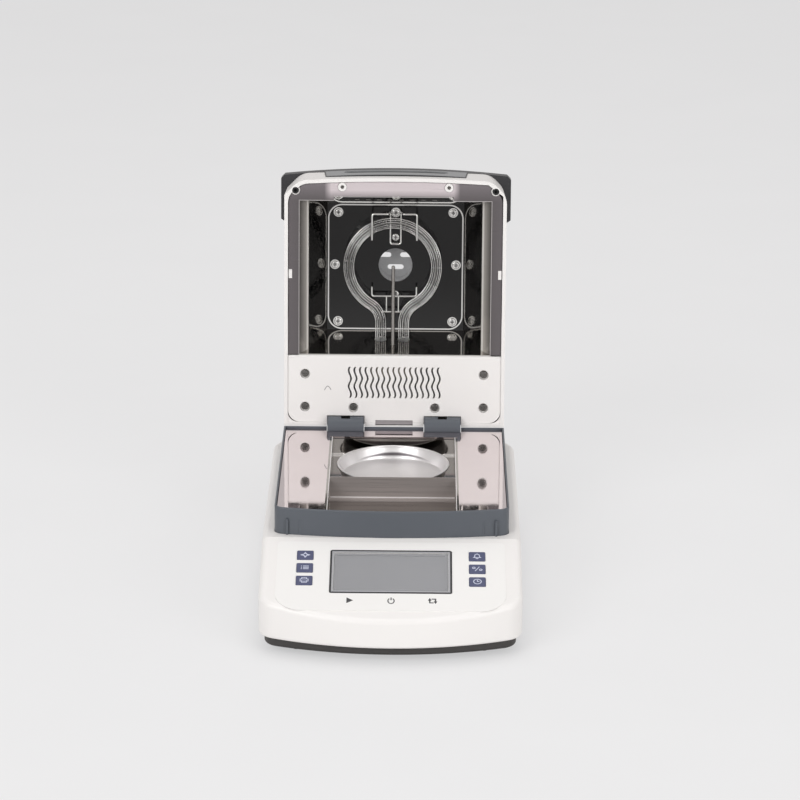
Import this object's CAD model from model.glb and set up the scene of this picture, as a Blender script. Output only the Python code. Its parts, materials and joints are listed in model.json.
"""The looks of a bench moisture analyzer: finishes, signs, the lamp's inside and fittings."""

from __future__ import annotations

import json
import logging
import math
from dataclasses import dataclass
from enum import Enum
from functools import partialmethod

import bmesh
import bpy
from mathutils import Color, Matrix, Vector


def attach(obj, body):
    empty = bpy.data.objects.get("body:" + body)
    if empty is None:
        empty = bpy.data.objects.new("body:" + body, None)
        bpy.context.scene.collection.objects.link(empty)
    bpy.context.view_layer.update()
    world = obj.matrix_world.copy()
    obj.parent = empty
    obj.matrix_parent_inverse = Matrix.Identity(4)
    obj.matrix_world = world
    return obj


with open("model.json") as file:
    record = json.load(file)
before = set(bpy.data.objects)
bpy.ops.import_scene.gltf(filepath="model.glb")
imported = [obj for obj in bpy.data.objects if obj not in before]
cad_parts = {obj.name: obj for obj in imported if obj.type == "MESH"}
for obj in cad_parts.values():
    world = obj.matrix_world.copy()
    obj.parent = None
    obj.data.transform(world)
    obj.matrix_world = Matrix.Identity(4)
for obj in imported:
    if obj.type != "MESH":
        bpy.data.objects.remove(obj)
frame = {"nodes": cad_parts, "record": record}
log = logging.getLogger("moisture_analyzer")

MM = 0.001
FULL_CHANNEL = 255
RIGHT_ANGLE = 90.0
MITRE_LIMIT = 0.35
PRINT_THICK = 0.06
PRINT_GAP = 0.01
ARROW_HALF = 0.62
MIX_FACTOR, MIX_LOW, MIX_HIGH, MIX_RESULT = 0, 6, 7, 2

Rgb = tuple[float, float, float]
Rgba = tuple[float, float, float, float]
Pair = tuple[float, float]
Flat = list[Pair]


def linear(rgb: Rgb) -> Rgba:
    """A colour written as it is seen, 0 to 255, as the linear colour that shaders take.

    Args:
        rgb: Red, green and blue from 0 to 255.

    Returns:
        Linear red, green and blue with an alpha of 1.
    """
    seen = Color([value / FULL_CHANNEL for value in rgb])
    return (*seen.from_srgb_to_scene_linear(), 1.0)


class Operation(Enum):
    """What a Math node does with its inputs."""

    ADD = "ADD"
    SUBTRACT = "SUBTRACT"
    MULTIPLY = "MULTIPLY"
    DIVIDE = "DIVIDE"
    POWER = "POWER"
    ABSOLUTE = "ABSOLUTE"
    SINE = "SINE"
    SQRT = "SQRT"
    MINIMUM = "MINIMUM"
    MAXIMUM = "MAXIMUM"


class Signal:
    """A number that varies over a surface, held as a node's output, with arithmetic."""

    def __init__(self, tree: "Tree", socket: bpy.types.NodeSocket) -> None:
        """Keeps the tree and the output that the number comes from."""
        self.tree = tree
        self.socket = socket

    def _math(self, operation: Operation, *others: object) -> "Signal":
        """Adds one Math node, with this signal as its first input.

        Args:
            operation: What the node does.
            others: Its other inputs in order, numbers or signals.

        Returns:
            The node's result.
        """
        settings = {"operation": operation.value}
        node = self.tree.node("ShaderNodeMath", settings, dict(enumerate((self, *others))))
        return Signal(self.tree, node.outputs[0])

    __add__ = __radd__ = partialmethod(_math, Operation.ADD)
    __sub__ = partialmethod(_math, Operation.SUBTRACT)
    __mul__ = __rmul__ = partialmethod(_math, Operation.MULTIPLY)
    __truediv__ = partialmethod(_math, Operation.DIVIDE)
    __pow__ = partialmethod(_math, Operation.POWER)
    root = partialmethod(_math, Operation.SQRT)

    def __rsub__(self, other: float) -> "Signal":
        """A number less this signal."""
        return self * -1.0 + other

    def distance(self, other: object) -> "Signal":
        """How far this signal is from another, or from a number."""
        return (self - other)._math(Operation.ABSOLUTE)

    def wave(self) -> "Signal":
        """The sine of this signal, moved to run from 0 to 1."""
        return self._math(Operation.SINE) * 0.5 + 0.5

    def clamp(self) -> "Signal":
        """This signal kept between 0 and 1."""
        return self._math(Operation.MAXIMUM, 0.0)._math(Operation.MINIMUM, 1.0)

    def above(self, edge: float, width: float) -> "Signal":
        """A soft step from 0 to 1 around an edge.

        Args:
            edge: The value at the middle of the step.
            width: How wide the step is.

        Returns:
            0 below the step and 1 above it.
        """
        return ((self - (edge - width / 2)) / width).clamp()


class Tree:
    """A node tree, emptied, and the calls that add to it."""

    def __init__(self, owner: bpy.types.Material | bpy.types.World, output: str) -> None:
        """Takes over a material's or a world's nodes, and starts them with a lone output."""
        owner.use_nodes = True
        self.nodes = owner.node_tree.nodes
        self.links = owner.node_tree.links
        self.nodes.clear()
        self.output = self.node(output, {}, {})

    def node(self, kind: str, settings: dict, values: dict) -> bpy.types.Node:
        """Adds one node.

        Args:
            kind: The node's type.
            settings: What is set on the node itself, before its sockets.
            values: Input name or place to a number, colour, signal or socket.

        Returns:
            The new node.
        """
        made = self.nodes.new(kind)
        for key, value in settings.items():
            setattr(made, key, value)
        for key, value in values.items():
            self.feed(made.inputs[key], value)
        return made

    def feed(self, target: bpy.types.NodeSocket, value: object) -> None:
        """Links a signal or socket to an input, or sets the input's own value."""
        if isinstance(value, Signal):
            self.links.new(value.socket, target)
        elif isinstance(value, bpy.types.NodeSocket):
            self.links.new(value, target)
        else:
            target.default_value = value

    def for_camera(self, lit: bpy.types.Node, seen: bpy.types.Node, share: float) -> None:
        """Makes the camera see another shader than the one that lights the scene.

        Args:
            lit: The shader that all other light meets.
            seen: The shader that the camera sees mixed in.
            share: How much of it the camera sees.
        """
        rays = self.node("ShaderNodeLightPath", {}, {}).outputs["Is Camera Ray"]
        factor = Signal(self, rays) * share
        values = {0: factor, 1: lit.outputs[0], 2: seen.outputs[0]}
        mix = self.node("ShaderNodeMixShader", {}, values)
        self.feed(self.output.inputs[0], mix.outputs[0])


class Graph(Tree):
    """A material's node tree."""

    def __init__(self, name: str) -> None:
        """Starts a material with a lone Principled shader."""
        self.material = bpy.data.materials.new(name)
        super().__init__(self.material, "ShaderNodeOutputMaterial")
        self.shader = self.node("ShaderNodeBsdfPrincipled", {}, {})
        self.feed(self.output.inputs[0], self.shader.outputs[0])

    def place(self) -> bpy.types.NodeSocket:
        """The point on the surface, in metres in the object's own frame."""
        return self.node("ShaderNodeTexCoord", {}, {}).outputs["Object"]

    def axes(self) -> tuple[Signal, Signal, Signal]:
        """The X, Y and Z of the point on the surface, in metres."""
        node = self.node("ShaderNodeSeparateXYZ", {}, {"Vector": self.place()})
        across, along, up = (Signal(self, output) for output in node.outputs)
        return across, along, up

    def stretched(self, scale: Rgb) -> bpy.types.NodeSocket:
        """The point on the surface with each axis scaled.

        Args:
            scale: The factors along X, Y and Z.

        Returns:
            The scaled point.
        """
        node = self.node("ShaderNodeMapping", {}, {"Vector": self.place(), "Scale": scale})
        return node.outputs["Vector"]

    def noise(self, point: bpy.types.NodeSocket, scale: float, detail: float) -> Signal:
        """Smooth noise from 0 to 1.

        Args:
            point: Where the noise is read.
            scale: How many features there are in a metre.
            detail: How many finer layers are added.

        Returns:
            The noise.
        """
        values = {"Vector": point, "Scale": scale, "Detail": detail}
        node = self.node("ShaderNodeTexNoise", {}, values)
        return Signal(self, node.outputs[0])

    def tint(self, amount: object, low: object, high: object) -> bpy.types.NodeSocket:
        """A colour between two others.

        Args:
            amount: 0 for the first colour and 1 for the second.
            low: The first colour, linear with alpha, or its socket.
            high: The second colour, linear with alpha, or its socket.

        Returns:
            The mixed colour.
        """
        values = {MIX_FACTOR: amount, MIX_LOW: low, MIX_HIGH: high}
        node = self.node("ShaderNodeMix", {"data_type": "RGBA"}, values)
        return node.outputs[MIX_RESULT]

    def bump(self, height: Signal, distance: float, strength: float = 1.0) -> None:
        """Feeds a height in metres to the shader's normal.

        Args:
            height: The height, from 0 to 1.
            distance: How many metres the height stands for.
            strength: How strong the effect is.
        """
        values = {"Height": height, "Distance": distance, "Strength": strength}
        node = self.node("ShaderNodeBump", {}, values)
        self.set(Normal=node.outputs[0])

    def set(self, **values: object) -> None:
        """Sets the shader's inputs by name, with underscores for spaces."""
        for key, value in values.items():
            self.feed(self.shader.inputs[key.replace("_", " ")], value)


@dataclass(frozen=True)
class Finish:
    """A surface: its colour as seen, its gloss, and what varies over it."""

    name: str
    color: Rgb
    roughness: float = 0.4

    def material(self) -> bpy.types.Material:
        """The material, made once and then reused."""
        found = bpy.data.materials.get(self.name)
        if found:
            return found
        graph = Graph(self.name)
        self.dress(graph)
        return graph.material

    def dress(self, graph: Graph) -> None:
        """Fills the shader in: each kind of finish has its own."""
        graph.set(Base_Color=linear(self.color), Roughness=self.roughness)

    def toned(self, factor: float) -> Rgba:
        """The colour made lighter or darker by a factor, linear."""
        red, green, blue, alpha = linear(self.color)
        return (red * factor, green * factor, blue * factor, alpha)

    def shades(self, graph: Graph, amount: Signal, tones: Pair) -> bpy.types.NodeSocket:
        """The colour between a darker and a lighter tone of itself.

        Args:
            graph: The material's nodes.
            amount: 0 for the first tone and 1 for the second.
            tones: The factors of the two tones.

        Returns:
            The mixed colour.
        """
        low, high = tones
        return graph.tint(amount, self.toned(low), self.toned(high))

    def gloss(self, *swings: tuple[Signal, float]) -> Signal:
        """The roughness, with each signal's swing about its middle added."""
        total = sum((signal - 0.5) * swing for signal, swing in swings)
        return (total + self.roughness).clamp()


@dataclass(frozen=True)
class Surface(Finish):
    """A finish with a cloud in its tone and gloss, and a grain in its gloss and height."""

    metallic: float = 0.0
    coat: float = 0.0
    coat_roughness: float = 0.03
    tones: Pair = (0.95, 1.05)
    cloud: Pair = (9.0, 3.0)
    cloud_gloss: float = 0.0
    pull: Rgb = (1.0, 1.0, 1.0)
    grain: Pair = (900.0, 3.0)
    grain_gloss: float = 0.0
    grain_depth: float = 0.0
    grain_strength: float = 0.5

    def dress(self, graph: Graph) -> None:
        """Feeds the cloud and the grain to the shader."""
        cloud = graph.noise(graph.place(), *self.cloud)
        grain = graph.noise(graph.stretched(self.pull), *self.grain)
        graph.set(
            Base_Color=self.shades(graph, cloud, self.tones),
            Metallic=self.metallic,
            Roughness=self.gloss((cloud, self.cloud_gloss), (grain, self.grain_gloss)),
            Coat_Weight=self.coat,
            Coat_Roughness=self.coat_roughness,
        )
        self.relief(graph, grain)

    def relief(self, graph: Graph, grain: Signal) -> None:
        """Gives the surface its height, where it has any."""
        if self.grain_depth:
            graph.bump(grain, self.grain_depth, self.grain_strength)


@dataclass(frozen=True)
class MouldedPlastic(Surface):
    """Injection moulded plastic with a fine spark-eroded grain."""

    coat_roughness: float = 0.25
    cloud_gloss: float = 0.12
    grain: Pair = (2600.0, 3.0)
    grain_gloss: float = 0.10
    grain_depth: float = 0.00002
    grain_strength: float = 0.35


@dataclass(frozen=True)
class BrushedMetal(Finish):
    """Sheet metal brushed in one direction."""

    along: Rgb = (4.0, 900.0, 900.0)
    streak: float = 0.10
    metallic: float = 1.0
    fine: Pair = (4.0, 4.0)
    coarse: Pair = (0.6, 2.0)
    cloud: Pair = (14.0, 2.0)
    fine_share: float = 0.6
    contrast: Pair = (0.5, 0.5)
    fine_gloss: float = 0.14
    cloud_gloss: float = 0.06
    line_depth: float = 0.000012
    line_strength: float = 0.5

    def dress(self, graph: Graph) -> None:
        """Streaks along the brushing in tone, gloss and bump."""
        point = graph.stretched(self.along)
        fine = graph.noise(point, *self.fine)
        coarse = graph.noise(point, *self.coarse)
        cloud = graph.noise(graph.place(), *self.cloud)
        streaks = fine * self.fine_share + coarse * (1 - self.fine_share)
        tones = (1 - self.streak, 1 + self.streak)
        graph.set(
            Base_Color=self.shades(graph, streaks.above(*self.contrast), tones),
            Metallic=self.metallic,
            Roughness=self.gloss((fine, self.fine_gloss), (cloud, self.cloud_gloss)),
        )
        graph.bump(fine, self.line_depth, self.line_strength)


@dataclass(frozen=True)
class PolishedMetal(Surface):
    """Polished metal with faint smears and long pressed waves."""

    metallic: float = 1.0
    tones: Pair = (0.94, 1.04)
    cloud: Pair = (40.0, 4.0)
    cloud_gloss: float = 0.05
    pull: Rgb = (1.0, 0.5, 0.35)
    grain: Pair = (22.0, 1.0)
    grain_depth: float = 0.00008
    grain_strength: float = 0.6


@dataclass(frozen=True)
class FoldedMirror(Finish):
    """A side reflector: dull at the mouth, bright along its fold, a mirror beyond it."""

    mouth: float = 0.087
    fold: float = 0.0785
    edge: float = 0.0006
    outer: Rgb = (98, 95, 93)
    lip: Rgb = (214, 210, 204)
    lip_power: float = 1.4
    ridge: Rgb = (250, 247, 242)
    ridge_past: float = 0.0005
    ridge_half: float = 0.0010
    mirror_tone: float = 0.4
    lip_metal: float = 0.35
    pull: Rgb = (1.0, 0.6, 0.3)
    smears: Pair = (46.0, 4.0)
    smear_gloss: float = 0.08
    smear_depth: float = 0.00006
    smear_strength: float = 0.5

    def dress(self, graph: Graph) -> None:
        """A run of tone across the folded lip, and smears over the mirror."""
        out = graph.axes()[0].distance(0.0)
        smear = graph.noise(graph.stretched(self.pull), *self.smears)
        reach = ((self.mouth - out) / (self.mouth - self.fold)).clamp()
        lip = graph.tint(reach ** self.lip_power, linear(self.outer), linear(self.lip))
        inner = 1.0 - out.above(self.fold, self.edge)
        sheet = graph.tint(inner, lip, self.toned(self.mirror_tone))
        line = 1.0 - out.distance(self.fold + self.ridge_past).above(self.ridge_half, self.edge)
        graph.set(
            Base_Color=graph.tint(line, sheet, linear(self.ridge)),
            Metallic=inner * (1 - self.lip_metal) + self.lip_metal,
            Roughness=self.gloss((smear, self.smear_gloss)),
        )
        graph.bump(smear, self.smear_depth, self.smear_strength)


@dataclass(frozen=True)
class BowedMirror(PolishedMetal):
    """The polished deck sheet, which bows up a little toward its front."""

    tones: Pair = (0.96, 1.03)
    cloud_gloss: float = 0.03
    hinge_y: float = 0.1178
    bow: float = 0.05

    def relief(self, graph: Graph, grain: Signal) -> None:
        """The long bow, in place of the pressed waves."""
        run = graph.axes()[1] - self.hinge_y
        graph.bump(run * run, self.bow)


@dataclass(frozen=True)
class SpunMetal(Finish):
    """Foil pressed and spun about an upright axis, with fine rings round it."""

    centre: Pair = (0.0, 0.0304)
    metallic: float = 0.9
    smears: Pair = (60.0, 4.0)
    tones: Pair = (0.93, 1.05)
    smear_gloss: float = 0.14
    rings: float = 2600.0
    ring_gloss: float = 0.05
    ring_depth: float = 0.00002
    ring_strength: float = 0.6
    foot_z: float = 0.0842
    foot_soft: float = 0.0016
    foot_half: float = 0.040
    foot_rise: float = 0.006
    foot_shade: Rgb = (104, 99, 102)
    wall_reach: Pair = (0.0455, 0.0006)
    wall_rear: Pair = (0.012, 0.006)

    def dress(self, graph: Graph) -> None:
        """Rings in gloss and bump, faint smears, and a deeper tone low on the rear wall."""
        across, along, up = graph.axes()
        off_x = across - self.centre[0]
        off_y = along - self.centre[1]
        reach = (off_x * off_x + off_y * off_y).root()
        ring = (reach * self.rings).wave()
        smear = graph.noise(graph.place(), *self.smears)
        foil = self.shades(graph, smear, self.tones)
        taper = (across / self.foot_half) ** 2.0 * self.foot_rise
        low = 1.0 - (up + taper).above(self.foot_z, self.foot_soft)
        wall = reach.above(*self.wall_reach) * off_y.above(*self.wall_rear)
        graph.set(
            Base_Color=graph.tint(low * wall, foil, linear(self.foot_shade)),
            Metallic=self.metallic,
            Roughness=self.gloss((smear, self.smear_gloss), (ring, self.ring_gloss)),
        )
        graph.bump(ring * 0.5 + smear * 0.5, self.ring_depth, self.ring_strength)


@dataclass(frozen=True)
class FrameBand(Finish):
    """The brushed band round the heating chamber, pale in the middle of its front run."""

    metallic: float = 0.5
    brushing: Rgb = (5.0, 900.0, 900.0)
    lines: Pair = (4.0, 4.0)
    line_gloss: float = 0.12
    line_depth: float = 0.00001
    line_strength: float = 0.4
    pale: Rgb = (224, 214, 217)
    deep: Rgb = (100, 96, 97)
    side_tone: float = 0.7
    side: Pair = (0.0905, 0.012)
    front: Pair = (0.3065, 0.014)
    patch_x: float = -0.003
    patch_half: Pair = (0.058, 0.006)
    patch_low: Pair = (0.3045, 0.010)

    def dress(self, graph: Graph) -> None:
        """A pale patch, deeper tone toward the opening, and brushing across."""
        across, _, up = graph.axes()
        fine = graph.noise(graph.stretched(self.brushing), *self.lines)
        side = across.distance(0.0).above(*self.side)
        band = graph.tint(side, linear(self.deep), self.toned(self.side_tone))
        run = graph.tint(up.above(*self.front), band, self.toned(1.0))
        width = 1.0 - across.distance(self.patch_x).above(*self.patch_half)
        patch = width * up.above(*self.patch_low)
        graph.set(
            Base_Color=graph.tint(patch, run, linear(self.pale)),
            Metallic=self.metallic,
            Roughness=self.gloss((fine, self.line_gloss)),
        )
        graph.bump(fine, self.line_depth, self.line_strength)


@dataclass(frozen=True)
class BlackGlass(Finish):
    """Opaque glossy glass with dust and finger marks in its gloss."""

    marks: Pair = (30.0, 5.0)
    mark_gloss: float = 0.08
    dust: Pair = (1800.0, 2.0)
    dust_edge: Pair = (0.72, 0.06)
    dust_share: float = 0.25
    dust_color: Rgb = (90, 90, 90)

    def dress(self, graph: Graph) -> None:
        """Marks in the gloss, a trace of dust in the colour."""
        point = graph.place()
        marks = graph.noise(point, *self.marks)
        dust = graph.noise(point, *self.dust).above(*self.dust_edge) * self.dust_share
        graph.set(
            Base_Color=graph.tint(dust, self.toned(1.0), linear(self.dust_color)),
            Roughness=(self.roughness + marks * self.mark_gloss).clamp(),
        )


@dataclass(frozen=True)
class ClearGlass(Finish):
    """Thin clear glass or quartz: mostly see-through, with a glossy skin."""

    see_through: float = 0.85
    cloudy: float = 0.06
    rim: float = 0.5
    edge_power: float = 2.0
    cloud: Pair = (60.0, 3.0)
    facing_blend: float = 0.35
    specular: float = 0.8
    coat: float = 0.6

    def dress(self, graph: Graph) -> None:
        """A pale skin whose cover grows with faint cloud and toward its edges."""
        cloud = graph.noise(graph.place(), *self.cloud)
        facing = graph.node("ShaderNodeLayerWeight", {}, {"Blend": self.facing_blend})
        edge = Signal(graph, facing.outputs["Facing"])
        skin = (1.0 - self.see_through) + edge ** self.edge_power * self.rim
        graph.set(
            Base_Color=linear(self.color),
            Roughness=self.roughness,
            Alpha=(skin + cloud * self.cloudy).clamp(),
            Specular_IOR_Level=self.specular,
            Coat_Weight=self.coat,
        )


@dataclass(frozen=True)
class Glint(Finish):
    """Bright broken lines where light runs along a quartz tube."""

    least: float = 0.35
    patches: Pair = (38.0, 1.0)
    patch_edge: Pair = (0.5, 0.22)
    fine: Pair = (260.0, 2.0)
    tones: Pair = (0.9, 1.1)

    def dress(self, graph: Graph) -> None:
        """Cover that comes and goes along the tube."""
        patch = graph.noise(graph.place(), *self.patches).above(*self.patch_edge)
        fine = graph.noise(graph.place(), *self.fine)
        graph.set(
            Base_Color=self.shades(graph, fine, self.tones),
            Metallic=1.0,
            Roughness=self.roughness,
            Alpha=(patch * (1.0 - self.least) + self.least).clamp(),
        )


@dataclass(frozen=True)
class Screen(Surface):
    """The display's grey polariser: a slow gradient, and a fine weave in the gloss."""

    coat: float = 0.35
    coat_roughness: float = 0.12
    tones: Pair = (0.90, 1.10)
    cloud: Pair = (8.0, 2.0)
    grain: Pair = (1 / 0.0006, 1.0)
    grain_gloss: float = 0.2


@dataclass(frozen=True)
class PrintedFilm(Surface):
    """The satin sheet of the control panel, with a very fine texture."""

    tones: Pair = (0.97, 1.03)
    cloud: Pair = (7.0, 2.0)
    grain: Pair = (3800.0, 2.0)
    grain_gloss: float = 0.15
    grain_depth: float = 0.00001
    grain_strength: float = 0.3


@dataclass(frozen=True)
class StudioPaper(PrintedFilm):
    """The studio's floor, which the camera sees paler than it is lit, with its shadow."""

    glow: Rgb = (236, 236, 237)
    lift: float = 0.6

    def dress(self, graph: Graph) -> None:
        """Satin paper, mixed with an even glow for the camera alone."""
        super().dress(graph)
        glow = graph.node("ShaderNodeEmission", {}, {"Color": linear(self.glow)})
        graph.for_camera(graph.shader, glow, self.lift)


@dataclass(frozen=True)
class Mineral(Surface):
    """A dull mineral surface, such as ceramic or lacquered board, with specks."""

    tones: Pair = (0.85, 1.12)
    cloud: Pair = (900.0, 3.0)
    cloud_gloss: float = 0.2
    grain_depth: float = 0.00004


FINISHES: dict[str, Finish] = {
    "white_plastic": MouldedPlastic("white_housing", (240, 238, 236), 0.38, coat=0.15,
                                    tones=(0.98, 1.02)),
    "slate_plastic": MouldedPlastic("slate_tray", (87, 92, 99), 0.42),
    "dark_plastic": MouldedPlastic("dark_trim", (46, 46, 49), 0.38),
    "grey_plastic": MouldedPlastic("grip_grey", (140, 142, 144), 0.34),
    "base_plastic": MouldedPlastic("under_shell", (58, 56, 55), 0.5),
    "overlay_film": PrintedFilm("panel_film", (242, 241, 239), 0.32),
    "key_blue": MouldedPlastic("key_caps", (74, 79, 112), 0.35, coat=0.2),
    "deck_steel": BowedMirror("deck_mirror", (233, 223, 224), 0.04),
    "chamber_steel": BrushedMetal("chamber_sheet", (176, 168, 165), 0.30, streak=0.12,
                                  metallic=0.45),
    "polished_steel": PolishedMetal("mirror_sheet", (205, 202, 198), 0.06),
    "frame_steel": FrameBand("frame_band", (130, 124, 127), 0.30),
    "bright_steel": PolishedMetal("bright_wire", (232, 232, 230), 0.14),
    "pan_aluminium": SpunMetal("pan_foil", (238, 236, 236), 0.36),
    "black_glass": BlackGlass("plate_glass", (16, 16, 17), 0.05),
    "clear_glass": ClearGlass("window_clear", (200, 204, 205), 0.04, see_through=0.97,
                              cloudy=0.02),
    "quartz": ClearGlass("quartz_tube", (246, 246, 244), 0.03, see_through=0.99, cloudy=0.01,
                         rim=1.4, edge_power=6.0),
    "lcd_grey": Screen("display_grey", (146, 146, 150), 0.35),
    "ceramic": Mineral("lamp_ceramic", (226, 220, 205), 0.7),
    "board_green": Mineral("circuit_board", (30, 92, 52), 0.45),
    "black_rubber": MouldedPlastic("rubber_black", (30, 30, 31), 0.7),
    "screw_steel": PolishedMetal("screw_plate", (120, 118, 116), 0.25),
    "cell_aluminium": BrushedMetal("cell_block", (200, 200, 204), 0.35),
    "guard_grey": MouldedPlastic("guard_grey", (150, 151, 152), 0.4),
}
NODE_FINISHES: dict[str, Finish] = {
    "temperature_probe": PolishedMetal("probe_steel", (158, 155, 152), 0.22),
    "rear_baffle": PolishedMetal("baffle_mirror", (246, 244, 242), 0.05),
    "reflector_left": FoldedMirror("side_mirror", (190, 186, 180), 0.08),
    "reflector_right": FoldedMirror("side_mirror", (190, 186, 180), 0.08),
    "chamber_channel": PolishedMetal("channel_mirror", (172, 168, 164), 0.08),
    "plate_screws": PolishedMetal("plate_screw", (230, 230, 228), 0.15),
    "clip_screws": PolishedMetal("clip_screw", (230, 230, 228), 0.15),
}
INK = MouldedPlastic("panel_ink", (64, 64, 66), 0.45)
KEY_SIGN = MouldedPlastic("key_sign", (205, 210, 228), 0.45)
GLINT = Glint("quartz_glint", (254, 254, 252), 0.10)
FILAMENT = PolishedMetal("tungsten", (170, 168, 164), 0.3)
LAMP_CORE = ClearGlass("quartz_core", (248, 248, 246), 0.04, see_through=0.985, cloudy=0.01,
                       rim=1.2, edge_power=5.0)
HEM = BrushedMetal("hem_edge", (246, 243, 242), 0.3, metallic=0.12)
RECESS = MouldedPlastic("screw_recess", (46, 45, 44), 0.6)
LINING = MouldedPlastic("slot_lining", (44, 44, 46), 0.5)
PLATE = BrushedMetal("slot_plate", (168, 163, 165), 0.35, metallic=0.4)
LIP = BrushedMetal("frame_lip", (188, 184, 184), 0.3, metallic=0.5)
STEP = MouldedPlastic("display_step", (172, 173, 176), 0.4)
MARK = MouldedPlastic("panel_mark", (120, 116, 118), 0.5)


@dataclass(frozen=True)
class Space:
    """A flat place on the instrument, with millimetre axes across it, up it and into it."""

    origin: Vector
    slope: float

    @property
    def up(self) -> Vector:
        """The direction up the place."""
        return Vector((0.0, math.cos(self.slope), math.sin(self.slope)))

    @property
    def inward(self) -> Vector:
        """The direction into the place."""
        return Vector((0.0, math.sin(self.slope), -math.cos(self.slope)))

    def point(self, x: float, y: float, depth: float = 0.0) -> Vector:
        """A point in metres in the shared frame.

        Args:
            x: Millimetres to the right.
            y: Millimetres up the place.
            depth: Millimetres into it.

        Returns:
            The point.
        """
        move = Vector((x, 0.0, 0.0)) + self.up * y + self.inward * depth
        return self.origin + move * MM


def level(z: float) -> Space:
    """A level place at a height in millimetres, with y along the instrument."""
    return Space(Vector((0.0, 0.0, z * MM)), 0.0)


HINGE_LINE = Vector((0.0, 0.1178, 0.095))
LID_SLOPE = math.radians(83.5)
RIM_GAP = 0.5
LID = Space(Space(HINGE_LINE, LID_SLOPE).point(0.0, 0.0, RIM_GAP), LID_SLOPE)
PANEL = Space(Vector((0.0, -0.1138, 0.0716)), math.atan2(71.6 - 38.5, 110.4))


class Shape:
    """A mesh under construction, in the shared frame."""

    def __init__(self, name: str) -> None:
        """Starts an empty mesh with a name."""
        self.name = name
        self.mesh = bmesh.new()

    def _wall(self, low: list, high: list, smooth: bool) -> None:
        """Joins two rings of vertices with faces, round or flat ones."""
        for k, first in enumerate(low):
            after = (k + 1) % len(low)
            face = self.mesh.faces.new((first, low[after], high[after], high[k]))
            face.smooth = smooth

    def tube(self, path: list[Vector], radius: float, sides: int) -> None:
        """Adds a round tube with closed ends along a path.

        Args:
            path: The centreline's points in metres.
            radius: The tube's radius in metres.
            sides: How many flats it has round it.
        """
        ends = [path[0], *path, path[-1]]
        tangents = [(after - before).normalized() for before, after in zip(ends, ends[2:])]
        normal = tangents[0].orthogonal().normalized()
        rings = []
        for centre, tangent in zip(path, tangents):
            normal = (normal - tangent * normal.dot(tangent)).normalized()
            side = tangent.cross(normal)
            turn = [2 * math.pi * k / sides for k in range(sides)]
            rings.append([
                self.mesh.verts.new(centre + (normal * math.cos(a) + side * math.sin(a)) * radius)
                for a in turn
            ])
        for low, high in zip(rings, rings[1:]):
            self._wall(low, high, True)
        self.mesh.faces.new(reversed(rings[0]))
        self.mesh.faces.new(rings[-1])

    def slab(self, space: Space, outline: Flat, base: float, thick: float) -> None:
        """Adds a flat piece with an outline.

        Args:
            space: The place that the outline is drawn on.
            outline: Its corners in millimetres, in order.
            base: How far in front of the place it starts, in millimetres.
            thick: Its thickness in millimetres.
        """
        low = [self.mesh.verts.new(space.point(x, y, -base)) for x, y in outline]
        high = [self.mesh.verts.new(space.point(x, y, -base - thick)) for x, y in outline]
        self.mesh.faces.new(high)
        self.mesh.faces.new(reversed(low))
        self._wall(low, high, False)

    def line(self, space: Space, path: Flat, width: float, base: float, thick: float) -> None:
        """Adds a drawn line of even width with mitred corners.

        Args:
            space: The place that the line is drawn on.
            path: Its points in millimetres; a closed line repeats its first point.
            width: Its width in millimetres.
            base: How far in front of the place it starts, in millimetres.
            thick: Its thickness in millimetres.
        """
        closed = path[0] == path[-1]
        points = [Vector(p) for p in (path[:-1] if closed else path)]
        count = len(points)
        left, right = [], []
        for k, point in enumerate(points):
            before = points[k - 1] if k or closed else point
            after = points[(k + 1) % count] if k < count - 1 or closed else point
            first = (point - before).normalized() if point != before else None
            second = (after - point).normalized() if after != point else None
            first = first or second
            second = second or first
            across = Vector((-(first + second).y, (first + second).x)).normalized()
            turn = across.dot(Vector((-first.y, first.x)))
            reach = width / 2 / max(turn, MITRE_LIMIT)
            left.append(point + across * reach)
            right.append(point - across * reach)
        spans = count if closed else count - 1
        for k in range(spans):
            after = (k + 1) % count
            corners = [right[k], right[after], left[after], left[k]]
            self.slab(space, [(c.x, c.y) for c in corners], base, thick)

    def ribbon(self, near: list[Vector], far: list[Vector], lift: Vector) -> None:
        """Adds a thin closed sheet between two edges.

        Args:
            near: The points of one edge in metres.
            far: The points of the other edge, one for each.
            lift: The sheet's thickness and its direction, in metres.
        """
        rows = [
            [self.mesh.verts.new(point) for point in edge]
            for edge in (near, far, [p + lift for p in far], [p + lift for p in near])
        ]
        for k in range(len(near) - 1):
            for place, row in enumerate(rows):
                beside = rows[(place + 1) % len(rows)]
                self.mesh.faces.new((row[k], row[k + 1], beside[k + 1], beside[k]))
        self.mesh.faces.new([row[0] for row in rows])
        self.mesh.faces.new([row[-1] for row in reversed(rows)])

    def finish(self, body: str, finish: Finish) -> bpy.types.Object:
        """Turns the mesh into a piece that rides on a body.

        Args:
            body: The CAD body's name.
            finish: What it is made of.

        Returns:
            The finished piece.
        """
        bmesh.ops.recalc_face_normals(self.mesh, faces=self.mesh.faces)
        data = bpy.data.meshes.new(self.name)
        self.mesh.to_mesh(data)
        self.mesh.free()
        data.materials.append(finish.material())
        piece = bpy.data.objects.new(self.name, data)
        bpy.context.collection.objects.link(piece)
        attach(piece, body)
        log.info("piece %s rides on %s", self.name, body)
        return piece


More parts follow.
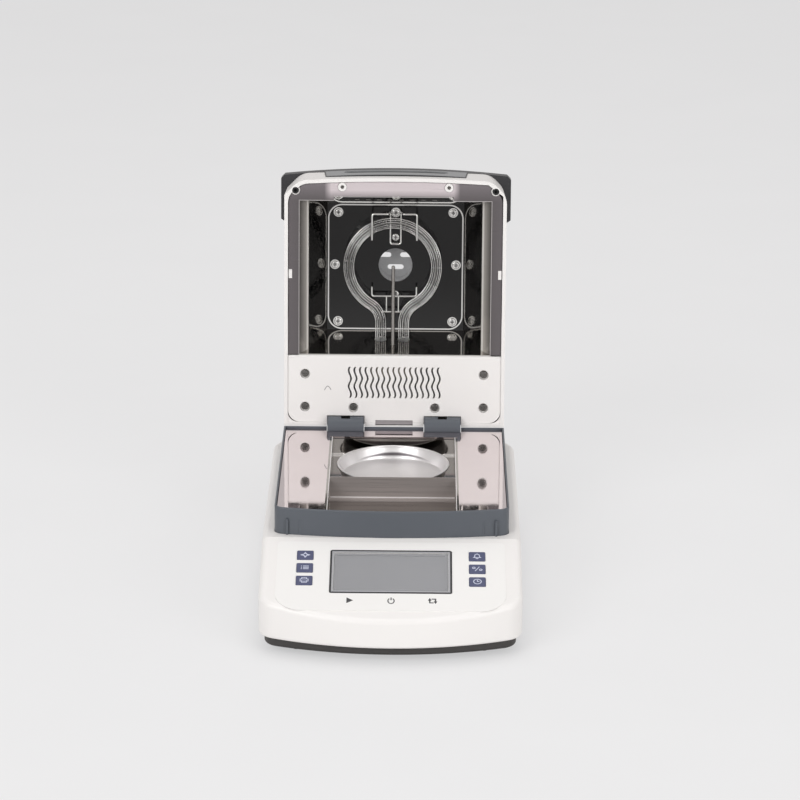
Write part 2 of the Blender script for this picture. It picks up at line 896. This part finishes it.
def arc(x: float, y: float, radius: float, start: float, end: float, steps: int) -> Flat:
    """Points on an arc.

    Args:
        x: The centre's x in millimetres.
        y: The centre's y in millimetres.
        radius: Its radius in millimetres.
        start: Where it starts, in degrees from +X.
        end: Where it ends, in degrees.
        steps: How many steps it is cut into.

    Returns:
        The points.
    """
    angles = [math.radians(start + (end - start) * k / steps) for k in range(steps + 1)]
    points = [(x + radius * math.cos(a), y + radius * math.sin(a)) for a in angles]
    if end - start == 360:
        points[-1] = points[0]
    return points


def box_path(x: float, y: float, width: float, height: float) -> Flat:
    """A closed rectangle round a middle point, in millimetres."""
    w, h = width / 2, height / 2
    return [(x - w, y - h), (x + w, y - h), (x + w, y + h), (x - w, y + h), (x - w, y - h)]


@dataclass(frozen=True)
class Sign:
    """A small generic sign: lines of even width and filled areas, about its middle."""

    lines: tuple[Flat, ...] = ()
    areas: tuple[Flat, ...] = ()
    width: float = 0.55

    def draw(
        self, shape: Shape, space: Space, x: float, y: float, base: float, tall: float = 1.0
    ) -> None:
        """Draws the sign on a place.

        Args:
            shape: The mesh that it is added to.
            space: The place it is drawn on.
            x: Its middle in millimetres.
            y: Its middle in millimetres.
            base: How far in front of the place it lies, in millimetres.
            tall: How much taller than drawn it is printed.
        """
        for line in self.lines:
            path = [(x + px, y + py * tall) for px, py in line]
            shape.line(space, path, self.width, base, PRINT_THICK)
        for area in self.areas:
            outline = [(x + px, y + py * tall) for px, py in area]
            shape.slab(space, outline, base, PRINT_THICK)


def arrowhead(x: float, y: float, heading: float, size: float) -> Flat:
    """A filled arrowhead with its tip at a point, pointing along a heading in degrees."""
    turn = math.radians(heading)
    along = Vector((math.cos(turn), math.sin(turn)))
    across = Vector((-along.y, along.x))
    tip = Vector((x, y))
    back = tip - along * size
    left = back + across * size * ARROW_HALF
    right = back - across * size * ARROW_HALF
    return [(tip.x, tip.y), (left.x, left.y), (right.x, right.y)]


KEY_SIGNS: dict[str, Sign] = {
    "key_cross": Sign(
        ([(-2.2, 0), (0, 2.4), (2.2, 0), (0, -2.4), (-2.2, 0)],),
        (arrowhead(-4.3, 0, 180, 2.0), arrowhead(4.3, 0, 0, 2.0),
         arrowhead(0, 4.1, 90, 1.8), arrowhead(0, -4.1, 270, 1.8)),
        width=0.9,
    ),
    "key_list": Sign(
        ([(-1.4, 1.9), (3.4, 1.9)], [(-1.4, 0), (3.4, 0)], [(-1.4, -1.9), (3.4, -1.9)],
         [(-3.2, 1.9), (-2.4, 1.9)], [(-3.2, 0), (-2.4, 0)], [(-3.2, -1.9), (-2.4, -1.9)]),
        width=0.9,
    ),
    "key_print": Sign(
        (box_path(0, 0, 6.6, 3.0), [(-2.0, 1.5), (-2.0, 3.4), (2.0, 3.4), (2.0, 1.5)],
         [(-2.0, -0.4), (-2.0, -3.2), (2.0, -3.2), (2.0, -0.4)], [(-1.0, -1.8), (1.0, -1.8)]),
        width=0.65,
    ),
    "key_bell": Sign(
        ([(-2.9, -1.7), (-2.0, -0.6), *arc(0, 0.9, 2.0, 180, 0, 12), (2.0, -0.6), (2.9, -1.7),
          (-2.9, -1.7)],
         arc(0, -2.5, 0.9, 180, 360, 8), [(0, 2.9), (0, 3.8)]),
        width=0.75,
    ),
    "key_unit": Sign(
        (arc(-2.9, 1.3, 1.1, 0, 360, 14), arc(2.9, -1.3, 1.1, 0, 360, 14),
         [(-1.8, -3.0), (1.8, 3.0)]),
        width=0.7,
    ),
    "key_clock": Sign((arc(0, 0, 3.2, 0, 360, 26), [(0, 2.1), (0, 0), (1.6, 0)]), width=0.75),
}
PANEL_SIGNS: tuple[tuple[float, Sign], ...] = (
    (-33.9, Sign(areas=([(-2.6, 2.7), (2.9, 0), (-2.6, -2.7)],))),
    (0.5, Sign((arc(0, -0.2, 2.6, 125, 415, 24), [(0, 0.4), (0, 3.0)]), width=1.0)),
    (35.0, Sign(
        ([(-2.4, 0.8), (-2.4, -1.8), (0.9, -1.8)], [(2.4, -0.8), (2.4, 1.8), (-0.9, 1.8)]),
        (arrowhead(-2.4, 2.9, 90, 2.5), arrowhead(2.4, -2.9, 270, 2.5)),
        width=1.2,
    )),
)


@dataclass
class ControlPanel:
    """The signs on the keys and the printed signs under the display."""

    key_x: float = 72.4
    key_first: float = 26.4
    key_pitch: float = 17.5
    key_top: float = 1.2
    film_top: float = 0.6
    sign_row: float = -87.7
    sign_tall: float = 1.4
    rows: tuple[tuple[str, str, str], ...] = (
        ("key_cross", "key_list", "key_print"),
        ("key_bell", "key_unit", "key_clock"),
    )

    def build(self) -> None:
        """Draws each key's sign on its own body, and the rest on the base."""
        for side, names in zip((-1, 1), self.rows):
            for row, name in enumerate(names):
                shape = Shape(f"{name}_sign")
                y = -(self.key_first + row * self.key_pitch)
                KEY_SIGNS[name].draw(shape, PANEL, side * self.key_x, y, self.key_top + PRINT_GAP)
                shape.finish(name, KEY_SIGN)
        shape = Shape("panel_signs")
        for x, sign in PANEL_SIGNS:
            sign.draw(shape, PANEL, x, self.sign_row, self.film_top + PRINT_GAP, self.sign_tall)
        shape.finish("base", INK)


@dataclass
class RingLamp:
    """What shows inside the quartz ring: two inner tubes, the filament and its supports."""

    middle_x: float = -2.5
    middle_s: float = 141.7
    ring: float = 40.0
    leg: float = 10.5
    bend: float = 20.0
    depth: float = 35.0
    root: float = 58.0
    leg_steps: int = 6
    bend_steps: int = 12
    ring_steps: int = 72
    tube: float = 5.0
    tube_wall: float = 0.3
    core_radius: float = 1.15
    core_offset: float = 2.1
    core_sides: int = 10
    glints: tuple[Pair, ...] = (
        (-4.4, 0.42), (-2.9, 0.28), (-1.1, 0.24), (1.3, 0.24), (3.0, 0.30), (4.4, 0.44),
    )
    glint_sides: int = 6
    coil_ends: int = 4
    coil_turns: int = 5
    coil_steps: int = 6
    coil_radius: float = 0.55
    coil_wire: float = 0.14
    coil_sides: int = 4
    support_ends: int = 14
    support_pitch: int = 6
    support_steps: int = 16
    support_radius: float = 3.4
    support_wire: float = 0.16
    support_sides: int = 5
    nub_turn_deg: float = 131
    nub_foot: float = 4.6
    nub_tip: float = 8.4
    nub_radius: float = 1.3

    def centreline(self, offset: float) -> Flat:
        """The lamp's path in the plane of the ring, moved outward by an offset.

        Args:
            offset: How far outside the tube's own centre it runs, in millimetres.

        Returns:
            Points from the foot of the right leg round the ring to the foot of the left one.
        """
        reach_x = self.leg + self.bend
        reach_s = math.sqrt((self.ring + self.bend) ** 2 - reach_x**2)
        start_s = self.middle_s - reach_s
        meet = math.degrees(math.atan2(reach_s, reach_x))
        rise = (start_s - self.root) / self.leg_steps
        right = [(self.leg + offset, self.root + rise * k) for k in range(self.leg_steps)]
        right += arc(reach_x, start_s, self.bend - offset, 180, 180 - meet, self.bend_steps)
        ring = arc(0, self.middle_s, self.ring + offset, -meet, 180 + meet, self.ring_steps)
        left = [(-x, s) for x, s in reversed(right)]
        whole = [*right[:-1], *ring, *left[1:]]
        return [(self.middle_x + x, s) for x, s in whole]

    def path(self, offset: float, depth: float) -> list[Vector]:
        """The centreline in the shared frame, at a depth in the lid."""
        return [LID.point(x, s, depth) for x, s in self.centreline(offset)]

    def build(self) -> None:
        """Builds the inner tubes, the glints on the glass, the coil, its rings and the nub."""
        for name, offset in (("inner", -self.core_offset), ("outer", self.core_offset)):
            shape = Shape(f"lamp_core_{name}")
            shape.tube(self.path(offset, self.depth), self.core_radius * MM, self.core_sides)
            shape.finish("lid", LAMP_CORE)
        for place, (offset, radius) in enumerate(self.glints):
            depth = self.depth - math.sqrt((self.tube - self.tube_wall) ** 2 - offset**2)
            shape = Shape(f"lamp_glint_{place}")
            shape.tube(self.path(offset, depth), radius * MM, self.glint_sides)
            shape.finish("lid", GLINT)
        self._filament()
        self._supports()
        self._nub()

    def _filament(self) -> None:
        """The coiled wire along the ring's centre."""
        points = self.path(0.0, self.depth)[self.coil_ends:-self.coil_ends]
        steps = self.coil_steps * self.coil_turns
        coil = []
        for first, second in zip(points, points[1:]):
            across = (second - first).normalized().cross(LID.inward)
            for k in range(steps):
                angle = 2 * math.pi * self.coil_turns * k / steps
                swing = across * math.cos(angle) + LID.inward * math.sin(angle)
                coil.append(first.lerp(second, k / steps) + swing * self.coil_radius * MM)
        shape = Shape("lamp_filament")
        shape.tube(coil, self.coil_wire * MM, self.coil_sides)
        shape.finish("lid", FILAMENT)

    def _supports(self) -> None:
        """Small rings that hold the filament."""
        shape = Shape("lamp_supports")
        flat = self.centreline(0.0)
        for k in range(self.support_ends, len(flat) - self.support_ends, self.support_pitch):
            middle = Vector(flat[k])
            along = (Vector(flat[k + 1]) - middle).normalized()
            across = Vector((-along.y, along.x)) * self.support_radius
            ring = []
            for step in range(self.support_steps + 1):
                angle = 2 * math.pi * step / self.support_steps
                place = middle + across * math.cos(angle)
                depth = self.depth + self.support_radius * math.sin(angle)
                ring.append(LID.point(place.x, place.y, depth))
            shape.tube(ring, self.support_wire * MM, self.support_sides)
        shape.finish("lid", FILAMENT)

    def _nub(self) -> None:
        """The nub where the quartz tube was sealed."""
        nub = Shape("lamp_nub")
        turn = math.radians(self.nub_turn_deg)
        reaches = (self.nub_foot, (self.nub_foot + self.nub_tip) / 2, self.nub_tip)
        path = [
            LID.point(
                self.middle_x + (self.ring + reach) * math.cos(turn),
                self.middle_s + (self.ring + reach) * math.sin(turn),
                self.depth,
            )
            for reach in reaches
        ]
        nub.tube(path, self.nub_radius * MM, self.core_sides)
        nub.finish("lid", LAMP_CORE)


@dataclass
class ChamberHems:
    """The folded bright edges of the sheets round the pan."""

    half: float = 54.4
    floor_z: float = 75.0
    deck_z: float = 93.0
    baffle_y: float = 93.0
    front_y: float = -108.5
    foot_hems: tuple[Pair, ...] = ((-23.4, 1.7), (93.0, 1.2))
    foot_width: float = 1.1
    foot_base: float = 0.05
    side_out: float = 0.9
    side_width: float = 0.6
    side_base: float = 0.02
    side_thick: float = 0.12

    def build(self) -> None:
        """Lays a hem at the foot of each cross wall and along each side of the opening."""
        shape = Shape("chamber_hems")
        for y, thick in self.foot_hems:
            foot = box_path(0, y, 2 * self.half, self.foot_width)[:-1]
            shape.slab(level(self.floor_z), foot, self.foot_base, thick)
        middle = (self.front_y + self.baffle_y) / 2
        long = self.baffle_y - self.front_y
        for side in (-1, 1):
            edge = box_path(side * (self.half + self.side_out), middle, self.side_width, long)
            shape.slab(level(self.deck_z), edge[:-1], self.side_base, self.side_thick)
        shape.finish("base", HEM)


@dataclass
class DisplaySurround:
    """The grey step between the display's frame and its glass."""

    middle_y: float = -48.2
    outer: Pair = (99.3, 56.0)
    width: float = 1.45
    level: float = 0.62

    def build(self) -> None:
        """Draws the step as four strips with mitred corners."""
        shape = Shape("display_step")
        across, tall = (size - self.width for size in self.outer)
        middle = box_path(0, self.middle_y, across, tall)
        shape.line(PANEL, middle, self.width, self.level, PRINT_THICK)
        shape.finish("base", STEP)


@dataclass
class LidFasteners:
    """The cross recesses in the screws of the heating chamber, and the frame's bright lip."""

    plate: tuple[Pair, ...] = (
        (55.5, 140.2), (-55.5, 140.2), (52.5, 87.5), (-52.5, 87.5), (52.5, 188.6),
        (-52.5, 188.6), (0.0, 188.6),
    )
    clips: tuple[Pair, ...] = ((0.0, 165.8), (0.0, 113.0))
    plate_top: float = 49.38
    clip_top: float = 49.98
    arm: float = 1.5
    width: float = 0.6
    recess_thick: float = 0.05
    half: float = 86.7
    start: float = 66.3
    end: float = 206.7
    notch_half: float = 54.0
    notch_x: float = -1.5
    notch_rise: float = 3.4
    notch_run: float = 2.0
    lip_depth: float = 1.95
    lip_thick: float = 0.08

    def build(self) -> None:
        """Draws the recesses and the lip."""
        shape = Shape("screw_recesses")
        for places, depth in ((self.plate, self.plate_top), (self.clips, self.clip_top)):
            for x, s in places:
                for dx, ds in ((self.arm, 0.0), (0.0, self.arm)):
                    bar = [(x - dx, s - ds), (x + dx, s + ds)]
                    shape.line(LID, bar, self.width, -depth, self.recess_thick)
        shape.finish("lid", RECESS)
        lip = Shape("frame_lip")
        left = self.notch_x - self.notch_half
        right = self.notch_x + self.notch_half
        top = self.end + self.notch_rise
        path = [
            (-self.half, self.start), (-self.half, self.end), (left, self.end),
            (left + self.notch_run, top), (right - self.notch_run, top),
            (right, self.end), (self.half, self.end), (self.half, self.start),
        ]
        lip.line(LID, path, self.width, -self.lip_depth, self.lip_thick)
        lip.finish("lid", LIP)


@dataclass
class LidSlots:
    """The dark lining of the finger slot, and the bars inside the cable slot."""

    slot_half: float = 47.0
    slot_height: float = 14.6
    slot_depth: float = 41.0
    slot_end: float = 0.1
    lining: float = 0.1
    crown: float = 227.1
    bow: float = 0.000487
    draft: float = 0.0175
    steps: int = 36
    cable_half: float = 16.9
    cable_low: float = 0.9
    cable_high: float = 5.3
    cable_depth: float = 2.7
    bar_width: float = 0.9
    bar_thick: float = 0.3
    bar_rise: float = 0.05
    plate_thick: float = 0.1

    def face(self, x: float, depth: float) -> float:
        """How far up the lid its bowed, drafted front face lies, in millimetres."""
        return self.crown - self.bow * x * x - self.draft * (depth - self.slot_depth)

    def build(self) -> None:
        """Lays the lining under the grip strip and the bars in the slot."""
        shape = Shape("grip_slot_lining")
        radius = self.slot_height / 2
        near, far = [], []
        for k in range(self.steps + 1):
            x = -self.slot_half * math.cos(math.pi * k / self.steps)
            past = max(abs(x) - (self.slot_half - radius), 0.0)
            half = math.sqrt(max(radius**2 - past**2, self.slot_end**2))
            for edge, side in ((near, -1), (far, 1)):
                depth = self.slot_depth + side * half
                edge.append(LID.point(x, self.face(x, depth), depth))
        shape.ribbon(near, far, -LID.up * self.lining * MM)
        shape.finish("lid", LINING)
        bars = Shape("cable_slot_bars")
        for s in (self.cable_low, self.cable_high):
            path = [(-self.cable_half, s), (self.cable_half, s)]
            bars.line(LID, path, self.bar_width, self.bar_rise - self.cable_depth, self.bar_thick)
        bars.finish("lid", LINING)
        plate = Shape("cable_slot_plate")
        middle = (self.cable_low + self.cable_high) / 2
        outline = box_path(0, middle, 2 * self.cable_half, self.cable_high - self.cable_low)
        plate.slab(LID, outline[:-1], -self.cable_depth, self.plate_thick)
        plate.finish("lid", PLATE)


@dataclass
class LidMarks:
    """The small moulded mark on the lid's rear panel."""

    mark_x: float = -60.4
    mark_s: float = 35.0
    panel_depth: float = 1.2
    width: float = 0.5
    outline: tuple[Pair, ...] = (
        (-3.0, -2.2), (-2.2, -0.4), (-0.8, 1.4), (0.0, 1.7), (0.9, 1.3), (2.2, -0.2), (3.0, -1.8),
    )

    def build(self) -> None:
        """Draws the mark's thin arch."""
        shape = Shape("panel_mark")
        path = [(self.mark_x + x, self.mark_s + s) for x, s in self.outline]
        shape.line(LID, path, self.width, PRINT_GAP - self.panel_depth, PRINT_THICK)
        shape.finish("lid", MARK)


def dress_frame() -> None:
    """Gives every CAD node the finish of its material slot."""
    for part in frame["record"]["subparts"]:
        node = frame["nodes"][part["node"]]
        finish = NODE_FINISHES.get(part["node"]) or FINISHES[part["material_slot"]]
        node.data.materials.clear()
        node.data.materials.append(finish.material())
        log.info("node %s finished as %s", part["node"], finish.name)


@dataclass(frozen=True)
class Lamp:
    """A square soft lamp that looks at the instrument: metres and watts."""

    name: str
    place: Rgb
    size: float
    power: float
    aim_z: float = 0.12

    def build(self) -> None:
        """Hangs the lamp up and turns it to the instrument."""
        data = bpy.data.lights.new(self.name, "AREA")
        data.size = self.size
        data.energy = self.power
        lamp = bpy.data.objects.new(self.name, data)
        lamp.location = self.place
        aim = Vector((0.0, 0.0, self.aim_z)) - Vector(self.place)
        lamp.rotation_euler = aim.to_track_quat("-Z", "Y").to_euler()
        bpy.context.collection.objects.link(lamp)


@dataclass
class Studio:
    """The floor, the lamps and the camera."""

    camera_place: Rgb = (0.0187, -2.9434, 1.1027)
    heading_deg: float = 0.25
    pitch_deg: float = 17.79
    roll_deg: float = 0.42
    focal_px: float = 3542.74
    frame_px: float = 800.0
    sensor_mm: float = 36.0
    floor_size: float = 14.0
    paper: StudioPaper = StudioPaper("studio_paper", (238, 238, 238), 0.9)
    sky: Rgb = (242, 239, 238)
    sky_strength: float = 0.62
    backdrop: Rgb = (236, 236, 237)
    lamps: tuple[Lamp, ...] = (
        Lamp("key_softbox", (-1.6, -2.2, 1.7), 1.6, 30.0),
        Lamp("fill_softbox", (1.9, -2.2, 1.3), 1.8, 24.0),
        Lamp("top_softbox", (0.0, 0.3, 2.6), 1.6, 12.0),
    )

    def camera(self) -> None:
        """Sets the camera where the photograph was taken from."""
        turns = (
            (self.heading_deg, "Z"), (RIGHT_ANGLE - self.pitch_deg, "X"), (self.roll_deg, "Z"),
        )
        data = bpy.data.cameras.new("photo_camera")
        data.sensor_width = self.sensor_mm
        data.lens = self.focal_px / self.frame_px * self.sensor_mm
        camera = bpy.data.objects.new("photo_camera", data)
        camera.matrix_world = Matrix.Translation(Vector(self.camera_place))
        for degrees, axis in turns:
            camera.matrix_world @= Matrix.Rotation(math.radians(degrees), 4, axis)
        bpy.context.collection.objects.link(camera)
        bpy.context.scene.camera = camera

    def floor(self) -> None:
        """A pale floor that reads near white to the camera and keeps the shadow."""
        data = bpy.data.meshes.new("studio_floor")
        half = self.floor_size / 2
        corners = [(-half, -half, 0), (half, -half, 0), (half, half, 0), (-half, half, 0)]
        data.from_pydata(corners, [], [(0, 1, 2, 3)])
        floor = bpy.data.objects.new("studio_floor", data)
        bpy.context.collection.objects.link(floor)
        data.materials.append(self.paper.material())

    def world(self) -> None:
        """Even pale light all round, and a paler backdrop where the camera sees it."""
        world = bpy.data.worlds.new("studio_world")
        bpy.context.scene.world = world
        tree = Tree(world, "ShaderNodeOutputWorld")
        lit, seen = (
            tree.node("ShaderNodeBackground", {}, {"Color": linear(color), "Strength": strength})
            for color, strength in ((self.sky, self.sky_strength), (self.backdrop, 1.0))
        )
        tree.for_camera(lit, seen, 1.0)

    def build(self) -> None:
        """Makes the whole studio."""
        self.camera()
        self.floor()
        self.world()
        for lamp in self.lamps:
            lamp.build()
        bpy.context.scene.view_settings.view_transform = "Standard"
        log.info("studio ready")


def main() -> None:
    """Builds the studio and every dressed sub-assembly, and keeps the two boxes."""
    logging.basicConfig(level=logging.INFO)
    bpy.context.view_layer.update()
    Studio().build()
    dress_frame()
    assemblies = (
        ControlPanel(), DisplaySurround(), ChamberHems(), RingLamp(), LidFasteners(), LidSlots(),
        LidMarks(),
    )
    for assembly in assemblies:
        assembly.build()


if __name__ == "__main__":
    main()
